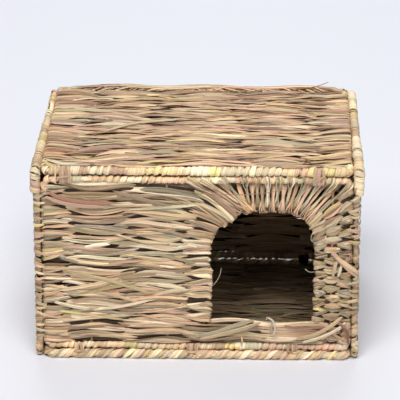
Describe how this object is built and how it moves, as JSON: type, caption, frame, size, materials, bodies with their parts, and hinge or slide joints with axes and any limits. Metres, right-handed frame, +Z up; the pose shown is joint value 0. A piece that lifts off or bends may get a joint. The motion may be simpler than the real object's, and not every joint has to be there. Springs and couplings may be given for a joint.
{
  "type": "small pet house",
  "caption": "Folding woven-grass pet house: wire-framed woven panels lashed at their edges, with an arched doorway, dropping side panels and a shear-flat body.",
  "frame": {"origin": "centre of the house's footprint, on the surface that it stands on", "axes": "+X to the right as seen from the front (along the long side), +Y from the door towards the back, +Z up"},
  "size_m": [0.385, 0.292, 0.242],
  "materials": {
    "grass_weave": "matte",
    "roof_weave": "matte",
    "grass_binding": "satin",
    "grass_lashing": "matte",
    "warp_cord": "matte",
    "frame_wire": "drawn"
  },
  "bodies": {
    "floor": {"floor_frame_wire": "frame_wire", "floor_weave": "grass_weave", "floor_front_binding": "grass_binding", "floor_back_binding": "grass_binding", "floor_warp_1": "warp_cord", "floor_warp_2": "warp_cord", "floor_warp_3": "warp_cord", "floor_front_lashing_left": "grass_lashing", "floor_front_lashing_middle": "grass_lashing", "floor_front_lashing_right": "grass_lashing", "floor_left_lashing_front": "grass_lashing", "floor_left_lashing_back": "grass_lashing", "floor_right_lashing_front": "grass_lashing", "floor_right_lashing_back": "grass_lashing"},
    "front": {"front_frame_wire": "frame_wire", "front_weave": "grass_weave", "front_bottom_binding": "grass_binding", "front_top_binding": "grass_binding", "front_warp_1": "warp_cord", "front_warp_2": "warp_cord", "front_warp_3": "warp_cord", "door_arch_wire": "frame_wire", "front_roof_lashing_left": "grass_lashing", "front_roof_lashing_right": "grass_lashing", "corner_tie_upper": "grass_lashing", "corner_tie_lower": "grass_lashing"},
    "back": {"back_frame_wire": "frame_wire", "back_weave": "grass_weave", "back_bottom_binding": "grass_binding", "back_top_binding": "grass_binding", "back_warp_1": "warp_cord", "back_warp_2": "warp_cord", "back_warp_3": "warp_cord", "back_floor_lashing_left": "grass_lashing", "back_floor_lashing_middle": "grass_lashing", "back_floor_lashing_right": "grass_lashing"},
    "roof": {"roof_frame_wire": "frame_wire", "roof_weave": "roof_weave", "roof_front_binding": "grass_binding", "roof_back_binding": "grass_binding", "roof_warp_1": "warp_cord", "roof_warp_2": "warp_cord", "roof_warp_3": "warp_cord", "roof_back_lashing_left": "grass_lashing", "roof_back_lashing_middle": "grass_lashing", "roof_back_lashing_right": "grass_lashing"},
    "left_side": {"left_side_frame_wire": "frame_wire", "left_side_weave": "grass_weave", "left_side_bottom_binding": "grass_binding", "left_side_top_binding": "grass_binding", "left_side_warp_1": "warp_cord", "left_side_warp_2": "warp_cord"},
    "right_side": {"right_side_frame_wire": "frame_wire", "right_side_weave": "grass_weave", "right_side_bottom_binding": "grass_binding", "right_side_top_binding": "grass_binding", "right_side_warp_1": "warp_cord", "right_side_warp_2": "warp_cord"}
  },
  "joints": [
    {"name": "front_fold", "type": "hinge", "parent": "floor", "child": "front", "pos_m": [0, -0.141, 0.0154], "axis": [-1, 0, 0], "range_deg": [0, 90]},
    {"name": "roof_fold", "type": "hinge", "parent": "front", "child": "roof", "pos_m": [0, -0.141, 0.237], "axis": [-1, 0, 0], "range_deg": [-90, 0]},
    {"name": "back_fold", "type": "hinge", "parent": "floor", "child": "back", "pos_m": [0, 0.141, 0.005], "axis": [-1, 0, 0], "range_deg": [0, 90]},
    {"name": "left_side_fold", "type": "hinge", "parent": "floor", "child": "left_side", "pos_m": [-0.1875, 0, 0.005], "axis": [0, -1, 0], "range_deg": [0, 90]},
    {"name": "right_side_fold", "type": "hinge", "parent": "floor", "child": "right_side", "pos_m": [0.1875, 0, 0.005], "axis": [0, 1, 0], "range_deg": [0, 90]}
  ],
  "couplings": [
    {"joint": "roof_fold", "follows": "front_fold", "ratio": -1},
    {"joint": "back_fold", "follows": "front_fold", "ratio": 1}
  ]
}
